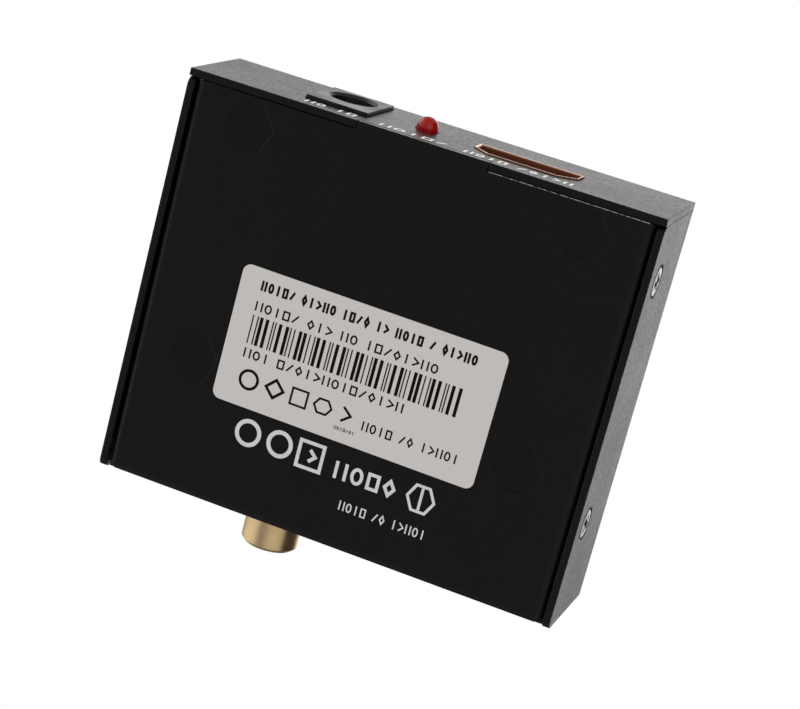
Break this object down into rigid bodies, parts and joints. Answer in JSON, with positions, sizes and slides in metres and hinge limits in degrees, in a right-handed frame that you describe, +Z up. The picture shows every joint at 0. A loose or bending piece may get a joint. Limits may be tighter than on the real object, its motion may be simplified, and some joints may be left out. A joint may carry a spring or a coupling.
{
  "type": "audio extractor box",
  "caption": "Flat folded-steel box: a video signal passes through from end to end, and its sound leaves by a plated phono barrel and a stereo socket.",
  "frame": {"origin": "on the surface that the case rests on (the outer face of the label), under the middle of the case's width and depth", "axes": "+X to the right of the input panel as one faces it, +Y from the input panel to the output panel, +Z up"},
  "size_m": [0.0682, 0.0661, 0.0187],
  "materials": {
    "painted_steel": "fine black powder coat",
    "nickel_plate": "bright nickel plating",
    "zinc_plate": "plated steel, painted over on the outside",
    "gold_plate": "gold plating, lightly brushed",
    "label_film": "matt label film with black print",
    "board_laminate": "solder resist",
    "moulded_plastic": "moulded, satin",
    "lamp_epoxy": "tinted clear epoxy",
    "tinned_metal": "tinned",
    "chip_epoxy": "moulded epoxy",
    "ferrite": "pressed ferrite",
    "chip_ceramic": "fired ceramic"
  },
  "bodies": {
    "root": {"cover": "painted_steel", "base": "painted_steel", "case_screws": "nickel_plate", "rating_label": "label_film", "standoffs": "zinc_plate", "board_screws": "nickel_plate", "circuit_board": "board_laminate", "video_in_shell": "gold_plate", "video_in_insulator": "moulded_plastic", "video_in_contacts": "gold_plate", "video_out_shell": "gold_plate", "video_out_insulator": "moulded_plastic", "video_out_contacts": "gold_plate", "power_jack_housing": "moulded_plastic", "power_jack_pin": "nickel_plate", "power_jack_spring": "nickel_plate", "lamp_lens": "lamp_epoxy", "lamp_leads": "tinned_metal", "phono_housing": "moulded_plastic", "phono_barrel": "gold_plate", "phono_insulator": "moulded_plastic", "phono_contact": "gold_plate", "stereo_housing": "moulded_plastic", "stereo_nose": "nickel_plate", "stereo_springs": "nickel_plate", "receiver_chip": "chip_epoxy", "audio_chip": "chip_epoxy", "crystal_can": "tinned_metal", "smoothing_capacitors": "tinned_metal", "power_inductor": "ferrite", "regulator": "chip_epoxy", "chip_components": "chip_ceramic"}
  },
  "joints": []
}
